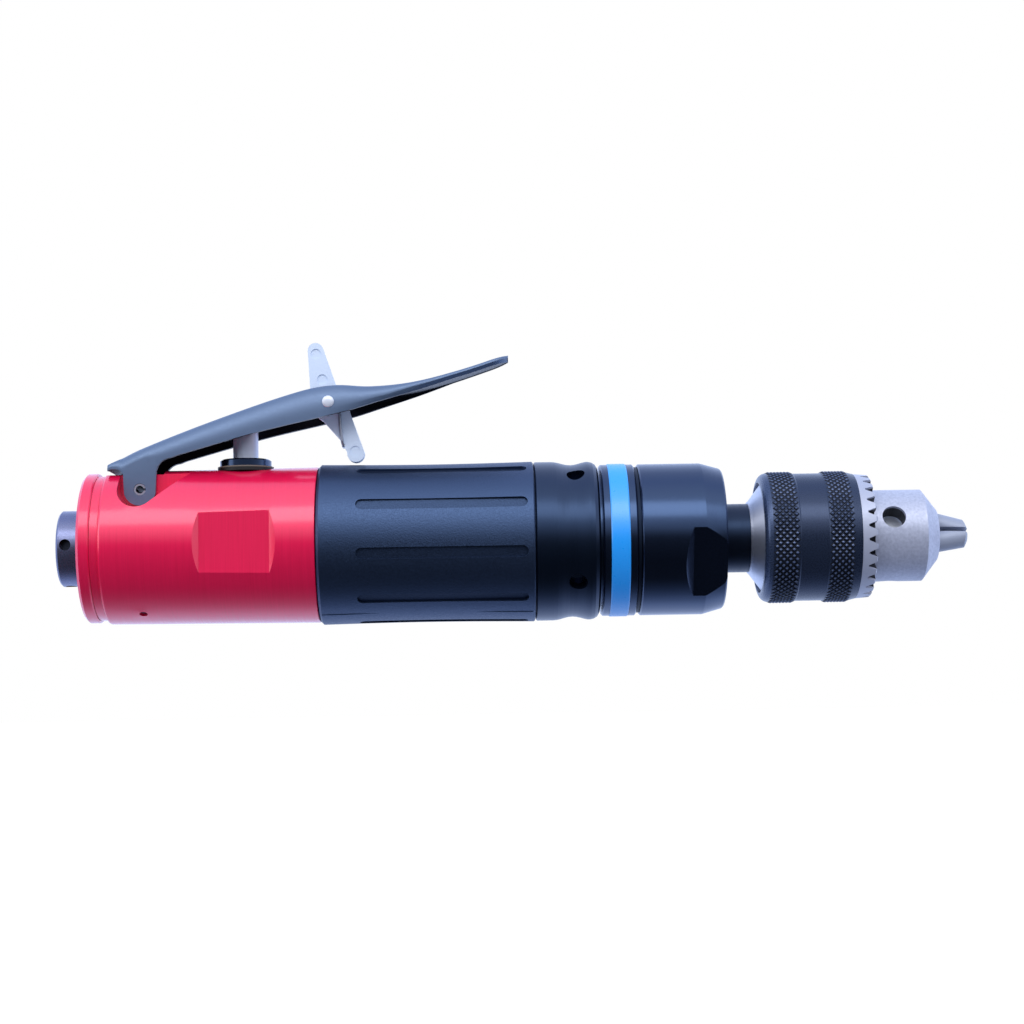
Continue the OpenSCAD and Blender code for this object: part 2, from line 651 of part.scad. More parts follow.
module gear_case() {
  r = case_d / 2;
  xb = x_case + (case_len - band_w) / 2;
  color([0.07, 0.08, 0.11]) turned([[x_tube_end + seat_gap, case_bore_r], [x_tube_end + seat_gap, case_spigot_r],
    [x_case, case_spigot_r], [x_case, r - 0.4], [x_case + 0.4, r], [xb, r], [xb, r - 0.8], [xb + band_w, r - 0.8],
    [xb + band_w, r], [x_case + case_len - 0.3, r], [x_case + case_len, r - 0.3], [x_case + case_len, case_spigot_r],
    [x_retainer - seat_gap, case_spigot_r], [x_retainer - seat_gap, case_bore_r]]);
}

module speed_band() {
  r = case_d / 2;
  xb = x_case + (case_len - band_w) / 2;
  color([0.1, 0.5, 0.8]) turned([[xb + 0.05, r - 0.75], [xb + 0.05, r], [xb + 0.35, r + 0.2],
    [xb + band_w - 0.35, r + 0.2], [xb + band_w - 0.05, r], [xb + band_w - 0.05, r - 0.75]]);
}

module joint_ring() {
  color([0.1, 0.1, 0.12]) ring(nose_d / 2 - 0.7, case_spigot_r + seat_gap, x_case + case_len + 0.15, x_nose - 0.15);
}

module ring_gear() {
  color([0.45, 0.45, 0.48]) difference() {
    bar(case_bore_r - seat_gap, x_gear - 1, x_gear + gear_w + 1.5);
    gear_bar(gear_outline(ring_z, gear_m, 1.25 * gear_m, 0.9 * gear_m, -backlash), x_gear - 2, x_gear + gear_w + 3);
  }
}

module planet_gear(i) {
  color([0.5, 0.5, 0.53]) rotate([i * 120, 0, 0]) translate([0, 0, -orbit_r]) difference() {
    gear_bar(gear_outline(planet_z, gear_m, 0.9 * gear_m, 1.25 * gear_m, backlash), x_gear + 0.3, x_gear + gear_w - 0.3);
    bar(2.0 + run_gap, x_gear - 1, x_gear + gear_w + 1);
  }
}

module planet_gear_1() { planet_gear(0); }
module planet_gear_2() { planet_gear(1); }
module planet_gear_3() { planet_gear(2); }

module planet_pins() {
  color([0.62, 0.62, 0.64]) for (i = [0 : 2]) rotate([i * 120, 0, 0]) translate([0, 0, -orbit_r])
    bar(2.0, x_gear - 2.5, x_carrier + 4.5);
}

module carrier_plate() {
  color([0.46, 0.46, 0.48]) difference() {
    ring(12.0, sun_r + 1.1, x_gear - 2.5, x_gear - 0.1);
    for (i = [0 : 2]) rotate([i * 120, 0, 0]) translate([0, 0, -orbit_r]) bar(2.02, x_gear - 4, x_gear + 2);
  }
}

// Nose and spindle

module nose() {
  r = nose_d / 2;
  color([0.08, 0.09, 0.12]) difference() {
    turned([[x_nose, case_spigot_r + seat_gap], [x_nose, r - 0.4], [x_nose + 0.4, r],
      [x_spindle - nose_chamfer, r], [x_spindle - 0.4, r - 1.4], [x_spindle, r - 1.8], [x_spindle, spindle_d / 2 + 0.4],
      [x_spindle - 1, spindle_d / 2 + 0.4], [x_spindle - 1, 11.2], [x_spindle - 3.2, 11.2],
      [x_spindle - 3.2, bearing_r - 1.5], [x_spindle - 3.8, bearing_r - 1.5], [x_spindle - 3.8, bearing_r + 0.03],
      [x_bearing - 0.1, bearing_r + 0.03], [x_bearing - 0.1, case_spigot_r + seat_gap]]);
    for (s = [0, 180]) rotate([23 + s, 0, 0]) linear_extrude(44, center = true)
      polygon([[x_spindle - 8.6, -nose_flat_af / 2], [x_spindle - 11.2, -r - 0.6], [x_spindle + 5, -r - 0.6],
        [x_spindle + 5, -nose_flat_af / 2]]);
  }
}

module bearing_retainer() {
  color([0.4, 0.4, 0.42]) ring(case_spigot_r, journal_r + 1.2, x_retainer, x_bearing - 0.15);
}

module spindle_bearing_outer_rings() {
  color([0.7, 0.7, 0.72]) for (i = [0, 1]) bearing_outer(x_bearing + i * 5.5, 5, journal_r, bearing_r);
}

module spindle_bearing_inner_rings() {
  color([0.7, 0.7, 0.72]) for (i = [0, 1]) bearing_inner(x_bearing + i * 5.5, 5, journal_r + 0.02, bearing_r);
}

module spindle_bearing_balls() {
  color([0.8, 0.8, 0.82]) for (i = [0, 1]) bearing_balls(x_bearing + i * 5.5, 5, journal_r, bearing_r, 14);
}

module spindle_seal() {
  color([0.3, 0.3, 0.28]) ring(11.1, spindle_d / 2 + 0.1, x_spindle - 3.1, x_spindle - 1.1);
}

module spindle() {
  color([0.14, 0.15, 0.19]) difference() {
    turned([[x_carrier, 0], [x_carrier, 12.0], [x_carrier + 5, 12.0], [x_carrier + 5, journal_r + 0.9],
      [x_bearing - 0.02, journal_r + 0.9], [x_bearing - 0.02, journal_r], [x_bearing + 10.6, journal_r],
      [x_bearing + 10.6, spindle_d / 2], [x_chuck - 0.05, spindle_d / 2], [x_chuck - 0.05, 4.7],
      [x_chuck + 11.5, 4.7], [x_chuck + 12, 4.2], [x_chuck + 12, 0]]);
    for (i = [0 : 2]) rotate([i * 120, 0, 0]) translate([0, 0, -orbit_r]) bar(2.02, x_carrier - 1, x_carrier + 4.6);
  }
}

// Chuck: jaw shapes are drawn with the jaw towards -Y, then turned to their places

module jaw_bar(r, x0, x1) {
  translate([x1, -jaw_mid(x1), 0]) rotate([0, 0, jaw_tilt]) translate([(x0 - x1) / cos(jaw_tilt), 0, 0])
    rotate([0, 90, 0]) cylinder(r = r, h = (x1 - x0) / cos(jaw_tilt));
}

module chuck_body() {
  r = chuck_d / 2;
  flange_r = sleeve_d / 2 - 2.8;
  color([0.66, 0.68, 0.72]) rotate([chuck_turn, 0, 0]) difference() {
    turned([[x_chuck, 4.75], [x_chuck, 9.2], [x_chuck + 0.5, 9.7], [x_sleeve + 0.4, flange_r - 0.6],
      [x_sleeve + 0.8, flange_r], [x_sleeve + 4, flange_r], [x_sleeve + 4, r], [x_nut - 0.3, r],
      [x_nut - 0.3, jaw_out(x_nut + nut_len) - 0.3], [x_nut + nut_len + 0.3, jaw_out(x_nut + nut_len) - 0.3],
      [x_nut + nut_len + 0.3, r], [x_front - 3.9, r], [x_front - 0.6, 7.6], [x_front, 6.9], [x_front, 4.3],
      [x_chuck + 12.2, 4.3], [x_chuck + 12.2, 4.75]]);
    for (i = [0 : 2]) {
      rotate([60 + i * 120, 0, 0]) jaw_bar(jaw_r + run_gap, jaw_back_x - jaw_travel - 0.6, x_front + 12);
      rotate([i * 120, 0, 0]) translate([x_sleeve_end + 5.0, -r - 2, 0]) rotate([-90, 0, 0])
        cylinder(d = key_hole_d, h = 8.6);
    }
  }
}

module chuck_jaw(i) {
  gap = jaw_opening / 2;
  back_r = nut_r - (jaw_open_max - jaw_opening) / 2 - 0.3;
  color([0.6, 0.62, 0.66]) rotate([chuck_turn + 60 + i * 120, 0, 0]) intersection() {
    jaw_bar(jaw_r, jaw_back_x, x_front + 14);
    translate([0, 0, 0]) rotate([0, 90, 0]) linear_extrude(jaw_tip_x)
      polygon([[0, -gap], [-15 * sin(60), -gap - 15 * cos(60)], [-15, -15], [15, -15],
        [15 * sin(60), -gap - 15 * cos(60)]]);
    turned([[jaw_back_x - 5, 0], [jaw_back_x - 5, back_r], [jaw_tip_x - 1.2, back_r],
      [jaw_tip_x - 1.2, 4.2], [jaw_tip_x - 0.5, 3.2], [jaw_tip_x, 2.2], [jaw_tip_x, 0]]);
  }
}

module chuck_jaw_1() { chuck_jaw(0); }
module chuck_jaw_2() { chuck_jaw(1); }
module chuck_jaw_3() { chuck_jaw(2); }

x_teeth = x_sleeve_end - 3.9;

module chuck_sleeve() {
  r = sleeve_d / 2;
  x1 = x_sleeve + 9;
  x2 = x_sleeve + 16;
  bore_r = nut_r + seat_gap;
  color([0.09, 0.1, 0.12]) turned(concat([[x_sleeve + 1.2, r - 2.8 + 0.08], [x_sleeve, r - 2.4]],
    [for (a = [0 : 15 : 90]) [x_sleeve + 2.2 - 2.2 * cos(a), r - 2.2 + 2.2 * sin(a)]],
    [[x1 - 0.3, r], [x1, r - 0.2], [x2, r - 0.2], [x2 + 0.3, r], [x2 + 6.4, r], [x_teeth - 0.05, r - 0.5],
      [x_teeth - 0.05, bore_r], [x_sleeve + 4.6, bore_r], [x_sleeve + 4.6, r - 2.8 + 0.08]]));
}

module tooth_ring() {
  r = sleeve_d / 2 - 0.55;
  color([0.68, 0.7, 0.74]) difference() {
    turned([[x_teeth, chuck_d / 2 + 0.08], [x_teeth, r], [x_sleeve_end - 0.3, r - 0.3], [x_sleeve_end, r - 0.7],
      [x_sleeve_end, chuck_d / 2 + 1.2], [x_sleeve_end - 0.8, chuck_d / 2 + 0.08]]);
    for (i = [0 : key_teeth - 1]) rotate([(i + 0.5) * 360 / key_teeth, 0, 0]) translate([0, -r - 2, 0])
      rotate([-90, 0, 0]) linear_extrude(r + 2 - chuck_d / 2 - 0.9)
        polygon([[x_sleeve_end + 1, -1.62], [x_sleeve_end + 1, 1.62], [x_sleeve_end - 2.3, 0.25], [x_sleeve_end - 2.3, -0.25]]);
  }
}

module chuck_nut() {
  x1 = x_nut + nut_len;
  color([0.5, 0.5, 0.52]) rotate([chuck_turn, 0, 0]) difference() {
    turned([[x_nut, jaw_out(x_nut) + 0.12], [x_nut, nut_r], [x1, nut_r], [x1, jaw_out(x1) + 0.12]]);
    translate([x_nut - 1, -0.15, -20]) cube([nut_len + 2, 0.3, 40]);
  }
}

handle();
exhaust_cap();
exhaust_silencer();
inlet_bush();
inlet_screen();
lock_screw();
valve_bush();
valve_washer();
valve_plunger();
valve_spring();
lever();
lever_pin();
latch();
latch_pin();
latch_spring();
grip_sleeve();
rear_end_plate();
motor_cylinder();
front_end_plate();
cylinder_dowel();
rotor();
rotor_vanes();
rotor_bearing_outer_rings();
rotor_bearing_inner_rings();
rotor_bearing_balls();
clamp_collar();
gear_case();
speed_band();
joint_ring();
ring_gear();
planet_gear_1();
planet_gear_2();
planet_gear_3();
planet_pins();
carrier_plate();
nose();
bearing_retainer();
spindle_bearing_outer_rings();
spindle_bearing_inner_rings();
spindle_bearing_balls();
spindle_seal();
spindle();
chuck_body();
chuck_sleeve();
tooth_ring();
chuck_nut();
chuck_jaw_1();
chuck_jaw_2();
chuck_jaw_3();
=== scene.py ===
import json
import math

import bpy
from mathutils import Matrix, Vector


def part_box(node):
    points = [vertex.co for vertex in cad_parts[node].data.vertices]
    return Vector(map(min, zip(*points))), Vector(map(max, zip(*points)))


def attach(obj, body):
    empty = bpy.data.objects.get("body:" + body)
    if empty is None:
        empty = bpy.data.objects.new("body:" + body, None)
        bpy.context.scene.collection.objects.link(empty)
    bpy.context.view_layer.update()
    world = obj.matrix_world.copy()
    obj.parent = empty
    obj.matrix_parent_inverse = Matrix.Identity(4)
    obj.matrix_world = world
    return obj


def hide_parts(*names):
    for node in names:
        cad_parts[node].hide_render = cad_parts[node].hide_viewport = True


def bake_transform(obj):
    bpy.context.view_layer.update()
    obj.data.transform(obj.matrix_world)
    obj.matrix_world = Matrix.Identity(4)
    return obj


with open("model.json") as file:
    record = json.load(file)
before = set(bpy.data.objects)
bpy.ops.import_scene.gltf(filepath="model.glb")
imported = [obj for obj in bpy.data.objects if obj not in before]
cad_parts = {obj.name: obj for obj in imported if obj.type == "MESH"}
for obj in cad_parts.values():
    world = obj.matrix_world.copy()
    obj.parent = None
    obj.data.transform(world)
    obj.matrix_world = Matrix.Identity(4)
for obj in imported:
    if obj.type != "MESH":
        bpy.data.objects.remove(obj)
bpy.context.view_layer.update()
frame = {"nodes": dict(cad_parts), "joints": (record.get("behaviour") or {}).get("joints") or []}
nodes = frame["nodes"]
joints = {j["name"]: j for j in frame["joints"]}
MM = 0.001

# Places of the frame that the finishes and detail pieces follow. hinge and pivot are in millimetres.
grip_lo, grip_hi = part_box("grip_sleeve")
chuck_lo, chuck_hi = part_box("chuck_body")
sleeve_lo, sleeve_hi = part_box("chuck_sleeve")
bush_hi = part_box("inlet_bush")[1]
washer_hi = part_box("valve_washer")[1]
teeth_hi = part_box("tooth_ring")[1]
hinge = Vector(joints["lever_press"]["pos_m"]) / MM
pivot = Vector(joints["latch_swing"]["pos_m"]) / MM


# Material helpers

# First input, second input and result of a mix node of each kind
MIX_SOCKETS = {"RGBA": (6, 7, 2), "FLOAT": (2, 3, 0)}

# Stretch of the noise in a finish: the same all ways, turned round the tool's axis, ground along it,
# and turned round an upright axis
EVEN, TURNED, GROUND, UPRIGHT = (1, 1, 1), (1, 0.012, 0.012), (0.03, 1, 1), (0.012, 0.012, 1)

# Range of a noise that is spread over the range of a finish
NOISE_LOW, NOISE_HIGH = 0.3, 0.7

# In a channel, how much facing down counts beside facing inward
DOWNWARD_WEIGHT = 0.7


def shader(m):
    return m.node_tree.nodes["Principled BSDF"]


def material(name, color, metallic=0.0, roughness=0.5, specular=0.5, tint=(1, 1, 1), ior=1.5,
             anisotropic=0.0, coat=0.0, coat_roughness=0.1, coat_ior=1.5):
    m = bpy.data.materials.new(name)
    m.use_nodes = True
    inputs = shader(m).inputs
    inputs["Base Color"].default_value = (*color, 1)
    inputs["Metallic"].default_value = metallic
    inputs["Roughness"].default_value = roughness
    inputs["Specular IOR Level"].default_value = specular
    inputs["Specular Tint"].default_value = (*tint, 1)
    inputs["IOR"].default_value = ior
    inputs["Anisotropic"].default_value = anisotropic
    inputs["Coat Weight"].default_value = coat
    inputs["Coat Roughness"].default_value = coat_roughness
    inputs["Coat IOR"].default_value = coat_ior
    return m


def new_node(m, kind, **values):
    n = m.node_tree.nodes.new(kind)
    for key, value in values.items():
        setattr(n, key, value)
    return n


def link(m, source, goal):
    m.node_tree.links.new(source, goal)


def math_node(m, operation, *values):
    """Result of a math node on values that are numbers or sockets."""
    n = new_node(m, "ShaderNodeMath", operation=operation)
    for goal, value in zip(n.inputs, values):
        if isinstance(value, (int, float)):
            goal.default_value = value
        else:
            link(m, value, goal)
    return n.outputs["Value"]


def map_range(m, value, low, high, new_low=0.0, new_high=1.0):
    n = new_node(m, "ShaderNodeMapRange")
    n.inputs["From Min"].default_value = low
    n.inputs["From Max"].default_value = high
    n.inputs["To Min"].default_value = new_low
    n.inputs["To Max"].default_value = new_high
    link(m, value, n.inputs["Value"])
    return n.outputs["Result"]


def mix_node(m, kind):
    """Factor, first input, second input and result of a new mix node."""
    n = new_node(m, "ShaderNodeMix", data_type=kind)
    first, second, result = MIX_SOCKETS[kind]
    return n.inputs[0], n.inputs[first], n.inputs[second], n.outputs[result]


def part_coord(m, axis, source="Object"):
    """One coordinate of the surface in the part's own frame, in metres, or of another source."""
    coord = new_node(m, "ShaderNodeTexCoord")
    split = new_node(m, "ShaderNodeSeparateXYZ")
    link(m, coord.outputs[source], split.inputs["Vector"])
    return split.outputs[axis]


def part_radius(m, plane=(0, 1, 1), centre=(0, 0, 0)):
    """Distance of the surface from an axis square to the plane, by default the tool's, in metres."""
    coord = new_node(m, "ShaderNodeTexCoord")
    flat = new_node(m, "ShaderNodeMapping")
    flat.inputs["Location"].default_value = [-c * k for c, k in zip(centre, plane)]
    flat.inputs["Scale"].default_value = plane
    length = new_node(m, "ShaderNodeVectorMath", operation="LENGTH")
    link(m, coord.outputs["Object"], flat.inputs["Vector"])
    link(m, flat.outputs["Vector"], length.inputs[0])
    return length.outputs["Value"]


def below(m, value, limit):
    return math_node(m, "LESS_THAN", value, limit)


def between(m, value, low, high):
    return math_node(m, "COMPARE", value, (low + high) / 2, (high - low) / 2)


def both(m, a, b):
    return math_node(m, "MULTIPLY", a, b)


def inside_channel(m):
    """How far the surface of a channel that opens downward faces its inside."""
    side = math_node(m, "SIGN", part_coord(m, "Y"))
    outward = math_node(m, "MULTIPLY", side, part_coord(m, "Y", "Normal"))
    downward = math_node(m, "MULTIPLY", part_coord(m, "Z", "Normal"), -DOWNWARD_WEIGHT)
    return math_node(m, "MULTIPLY_ADD", outward, -1.0, downward)


def stretched_noise(m, stretch, scale, detail=2.0):
    """Noise in the part's own frame, stretched along each axis."""
    coord = new_node(m, "ShaderNodeTexCoord")
    mapping = new_node(m, "ShaderNodeMapping")
    mapping.inputs["Scale"].default_value = stretch
    noise = new_node(m, "ShaderNodeTexNoise")
    noise.inputs["Scale"].default_value = scale
    noise.inputs["Detail"].default_value = detail
    link(m, coord.outputs["Object"], mapping.inputs["Vector"])
    link(m, mapping.outputs["Vector"], noise.inputs["Vector"])
    return noise.outputs["Fac"]


def bump(m, height, strength, depth):
    """Relief of the surface, with its depth in millimetres."""
    n = new_node(m, "ShaderNodeBump")
    n.inputs["Strength"].default_value = strength
    n.inputs["Distance"].default_value = depth * MM
    link(m, height, n.inputs["Height"])
    link(m, n.outputs["Normal"], shader(m).inputs["Normal"])


def vary(m, socket, noise, low, high):
    """Drives a value of the surface between low and high."""
    link(m, map_range(m, noise, NOISE_LOW, NOISE_HIGH, low, high), shader(m).inputs[socket])


def vary_color(m, noise, low, high):
    factor, first, second, mixed = mix_node(m, "RGBA")
    first.default_value = (*low, 1)
    second.default_value = (*high, 1)
    link(m, noise, factor)
    link(m, mixed, shader(m).inputs["Base Color"])


def grain(m, stretch, scale, rough, relief, depth=0.03, detail=2.0):
    """Fine surface of a finish: its roughness, in a range, and its relief follow one noise."""
    noise = stretched_noise(m, stretch, scale, detail)
    vary(m, "Roughness", noise, *rough)
    bump(m, noise, relief, depth)
    return noise


def turned_tangent(m):
    """Lathe finish: the highlight stretches round the tool's axis."""
    n = new_node(m, "ShaderNodeTangent", direction_type="RADIAL", axis="X")
    link(m, n.outputs["Tangent"], shader(m).inputs["Tangent"])


def change_beyond(m, value, limit, soft, socket, new):
    """Changes one input of the surface where a value passes a limit."""
    goal = shader(m).inputs[socket]
    kind = "RGBA" if goal.type == "RGBA" else "FLOAT"
    factor, old_in, new_in, mixed = mix_node(m, kind)
    old_in.default_value = goal.default_value
    new_in.default_value = (*new, 1) if kind == "RGBA" else new
    if goal.links:
        link(m, goal.links[0].from_socket, old_in)
    link(m, map_range(m, value, limit - soft, limit + soft), factor)
    link(m, mixed, goal)


def change_where(m, mask, socket, new):
    """Changes one input of the surface where a mask is 1."""
    change_beyond(m, mask, limit=0.5, soft=0.1, socket=socket, new=new)


def tone_where(m, mask, color):
    change_where(m, mask, "Base Color", color)


# Handle and air inlet. Sizes in the finishes are in millimetres.

COOL = (0.32, 0.52, 1.0)

# The seat of the grip sleeve is black, from a little behind the sleeve.
SEAT_LEAD, SEAT_EDGE = 0.3, 0.05
SEAT_FINISH = {"Base Color": (0.004, 0.005, 0.01), "Coat Weight": 0.0, "Metallic": 0.0,
               "Specular Tint": COOL}

red = material("red_anodised", (0.8, 0.01, 0.05), metallic=0.22, roughness=0.32, tint=(1, 0.3, 0.6),
               anisotropic=0.5, coat=1.0, coat_roughness=0.18, coat_ior=1.63)
turned_tangent(red)
red_lines = grain(red, TURNED, 5200, rough=(0.28, 0.42), relief=0.12, depth=0.02, detail=3)
vary_color(red, red_lines, (0.79, 0.002, 0.055), (0.99, 0.006, 0.085))
for socket, new in SEAT_FINISH.items():
    change_beyond(red, part_coord(red, "X"), grip_lo.x - SEAT_LEAD * MM, SEAT_EDGE * MM, socket, new)

# The inlet's pin holes are painted dark, from their floor to just under the surface: painted shade.
PIN_HOLE_R, PIN_HOLE_RIM, PIN_HOLE_START, PIN_HOLE_END = 6.6, 0.3, 1.0, 6.0

oxide = material("black_oxide", (0.18, 0.2, 0.33), metallic=0.85, roughness=0.3)
grain(oxide, EVEN, 1800, rough=(0.25, 0.36), relief=0.08)
pin_hole_shade = both(oxide, between(oxide, part_radius(oxide), PIN_HOLE_R * MM, bush_hi.z - PIN_HOLE_RIM * MM),
                between(oxide, part_coord(oxide, "X"), PIN_HOLE_START * MM, PIN_HOLE_END * MM))
tone_where(oxide, pin_hole_shade, (0.03, 0.034, 0.05))


# Black parts and the blue band

nose_black = material("black_anodised", (0.0015, 0.002, 0.005), roughness=0.24, specular=0.9, tint=COOL,
                      ior=1.7, anisotropic=0.4)
turned_tangent(nose_black)
vary(nose_black, "Roughness", stretched_noise(nose_black, TURNED, 5200), 0.17, 0.21)

# The floors of the grip's grooves are duller: so far under its surface and in from its two ends.
GROOVE_DROP, GROOVE_REAR, GROOVE_FRONT = 0.68, 9.9, 1.5

grip = material("black_grip", (0.003, 0.005, 0.012), roughness=0.45, specular=1.0, tint=COOL, ior=1.75)
grain(grip, EVEN, 2600, rough=(0.38, 0.52), relief=0.4, depth=0.12, detail=3)
groove_depth = below(grip, part_radius(grip), grip_hi.z - GROOVE_DROP * MM)
groove_length = between(grip, part_coord(grip, "X"), grip_lo.x + GROOVE_REAR * MM,
                        grip_hi.x - GROOVE_FRONT * MM)
change_where(grip, both(grip, groove_depth, groove_length), "Specular IOR Level", 0.7)

moulded = material("black_moulded", (0.001, 0.002, 0.005), roughness=0.3, specular=0.8, tint=COOL, ior=1.58)
bump(moulded, stretched_noise(moulded, EVEN, 900), strength=0.06, depth=0.1)

blue = material("blue_band", (0.002, 0.335, 0.93), roughness=0.31, specular=0.6, ior=1.7)
grain(blue, EVEN, 2200, rough=(0.27, 0.36), relief=0.06)

spindle_black = material("spindle_black", (0.003, 0.004, 0.008), roughness=0.34, specular=0.6, tint=COOL)
grain(spindle_black, TURNED, 5200, rough=(0.29, 0.39), relief=0.06)

seal = material("seal_rubber", (0.002, 0.003, 0.006), roughness=0.5, tint=COOL)


# Lever, latch and valve

lever_paint = material("lever_paint", (0.125, 0.182, 0.29), metallic=0.5, roughness=0.4)
grain(lever_paint, EVEN, 1500, rough=(0.36, 0.48), relief=0.06, depth=0.04, detail=3)
# The inside of the channel, facing in and down, is painted near black: painted shade.
change_beyond(lever_paint, inside_channel(lever_paint), limit=0.3, soft=0.15, socket="Base Color",
              new=(0.006, 0.007, 0.014))

latch_grey = material("latch_grey", (0.68, 0.78, 0.93), roughness=0.42)
grain(latch_grey, EVEN, 700, rough=(0.36, 0.52), relief=0.15, depth=0.1, detail=4)

rivet_steel = material("rivet_steel", (0.74, 0.78, 0.86), metallic=0.25, roughness=0.34)
grain(rivet_steel, EVEN, 2500, rough=(0.29, 0.4), relief=0.05)

# The bore of the lever pin is painted dark: painted shade.
PIN_BORE_R = 1.0

pin_steel = material("pin_steel", (0.38, 0.41, 0.5), metallic=0.7, roughness=0.36)
pin_bore_shade = below(pin_steel, part_radius(pin_steel, (1, 0, 1), hinge * MM), PIN_BORE_R * MM)
tone_where(pin_steel, pin_bore_shade, (0.01, 0.012, 0.018))

plunger_steel = material("plunger_steel", (0.62, 0.66, 0.78), metallic=0.45, roughness=0.36)
grain(plunger_steel, UPRIGHT, 5200, rough=(0.3, 0.42), relief=0.06)

# The washer is paler along its top.
WASHER_TOP, WASHER_FADE = 0.3, 0.1

washer = material("washer_fibre", (0.003, 0.003, 0.004), roughness=0.5)
grain(washer, EVEN, 1500, rough=(0.44, 0.58), relief=0.1)
change_beyond(washer, part_coord(washer, "Z"), washer_hi.z - WASHER_TOP * MM, WASHER_FADE * MM,
              "Base Color", (0.16, 0.14, 0.11))


# Chuck

# Key holes: distances of their walls and floors from the axis, and the length of the cone in front of them
HOLE_WALL, HOLE_FLOOR, FRONT_CONE = (6.2, 10.8), (4.6, 6.2), 4.2
# The walls of the key holes are painted dark as painted shade, and their floors painted pale as painted
# light.
HOLE_PAINTED_SHADE_AND_LIGHT = {HOLE_WALL: (0.02, 0.023, 0.03), HOLE_FLOOR: (0.85, 0.9, 1.0)}
# The rear cone is brighter metal, with its highlight across the turning lines.
REAR_CONE = 4
CONE_FINISH = {"Base Color": (0.62, 0.66, 0.78), "Metallic": 0.85, "Roughness": 0.45, "Anisotropic": 0.9,
               "Anisotropic Rotation": 0.25}

steel = material("bright_steel", (0.47, 0.5, 0.62), metallic=0.32, roughness=0.4, anisotropic=0.4)
turned_tangent(steel)
grain(steel, TURNED, 6500, rough=(0.3, 0.5), relief=0.1, depth=0.02, detail=3)
vary_color(steel, stretched_noise(steel, EVEN, 1400), (0.33, 0.36, 0.47), (0.61, 0.64, 0.77))
painted_hole_span = between(steel, part_coord(steel, "X"), teeth_hi.x, chuck_hi.x - FRONT_CONE * MM)
for (inner, outer), tone in HOLE_PAINTED_SHADE_AND_LIGHT.items():
    painted_hole_ring = between(steel, part_radius(steel), inner * MM, outer * MM)
    tone_where(steel, both(steel, painted_hole_ring, painted_hole_span), tone)
rear_cone = below(steel, part_coord(steel, "X"), chuck_lo.x + REAR_CONE * MM)
for socket, new in CONE_FINISH.items():
    change_where(steel, rear_cone, socket, new)

jaw_steel = material("jaw_steel", (0.33, 0.365, 0.46), metallic=0.15, roughness=0.4)
grain(jaw_steel, GROUND, 3200, rough=(0.34, 0.47), relief=0.08)

# The gaps between the key teeth are dark: so far under their tips and behind their front.
TOOTH_DROP, TOOTH_FRONT = 0.9, 0.05

tooth_steel = material("tooth_steel", (0.44, 0.47, 0.58), metallic=0.3, roughness=0.4)
grain(tooth_steel, EVEN, 1800, rough=(0.34, 0.46), relief=0.08)
tooth_gap = both(tooth_steel, below(tooth_steel, part_radius(tooth_steel), teeth_hi.z - TOOTH_DROP * MM),
                 below(tooth_steel, part_coord(tooth_steel, "X"), teeth_hi.x - TOOTH_FRONT * MM))
tone_where(tooth_steel, tooth_gap, (0.012, 0.014, 0.022))

# Knurled bands, from and to along the key sleeve. Behind the first one the sleeve has a plain land.
KNURL_REAR, KNURL_FRONT = (1.9, 8.7), (16.1, 22.6)
# Diamonds round a band and along it, their height, how far they are sunk, and the height up to which they
# are painted dark: painted shade
KNURL_AROUND, KNURL_ALONG, KNURL_HEIGHT, KNURL_SINK, KNURL_SHADE_HEIGHT = 64, 4, 0.36, 0.02, 0.16

sleeve_black = material("sleeve_black", (0.028, 0.043, 0.085), metallic=0.6, roughness=0.28)
grain(sleeve_black, EVEN, 2400, rough=(0.24, 0.33), relief=0.12)
rear_land = below(sleeve_black, part_coord(sleeve_black, "X"), sleeve_lo.x + KNURL_REAR[0] * MM)
tone_where(sleeve_black, rear_land, (0.05, 0.075, 0.145))

knurl_black = material("knurl_black", (0.095, 0.13, 0.23), metallic=0.7, roughness=0.35)
grain(knurl_black, EVEN, 2400, rough=(0.3, 0.41), relief=0.08)
# The hollows between the diamonds are painted near black: painted shade.
valley_shade = below(knurl_black, part_radius(knurl_black), sleeve_hi.z + KNURL_SHADE_HEIGHT * MM)
tone_where(knurl_black, valley_shade, (0.003, 0.004, 0.008))


# Inner parts

plain_steel = material("plain_steel", (0.38, 0.41, 0.5), metallic=0.7, roughness=0.36)
dark_steel = material("dark_steel", (0.25, 0.27, 0.32), metallic=1.0, roughness=0.38)
felt = material("felt", (0.3, 0.3, 0.28), roughness=0.9)
vane = material("vane_resin", (0.12, 0.06, 0.03), roughness=0.5)


# Material of each part

LOOKS = {
    red: "handle exhaust_cap",
    oxide: "inlet_bush lock_screw",
    nose_black: "gear_case nose valve_bush",
    spindle_black: "spindle",
    grip: "grip_sleeve",
    moulded: "clamp_collar",
    blue: "speed_band",
    lever_paint: "lever",
    latch_grey: "latch",
    steel: "chuck_body",
    tooth_steel: "tooth_ring",
    pin_steel: "lever_pin",
    rivet_steel: "latch_pin",
    plain_steel: "inlet_screen cylinder_dowel "
                 "rotor_bearing_outer_rings rotor_bearing_inner_rings rotor_bearing_balls planet_pins "
                 "spindle_bearing_outer_rings spindle_bearing_inner_rings spindle_bearing_balls "
                 "valve_spring latch_spring",
    jaw_steel: "chuck_jaw_1 chuck_jaw_2 chuck_jaw_3",
    dark_steel: "rear_end_plate motor_cylinder front_end_plate rotor ring_gear planet_gear_1 planet_gear_2 "
                "planet_gear_3 carrier_plate bearing_retainer chuck_nut",
    plunger_steel: "valve_plunger",
    sleeve_black: "chuck_sleeve",
    seal: "joint_ring",
    washer: "valve_washer",
    felt: "exhaust_silencer spindle_seal",
    vane: "rotor_vanes",
}
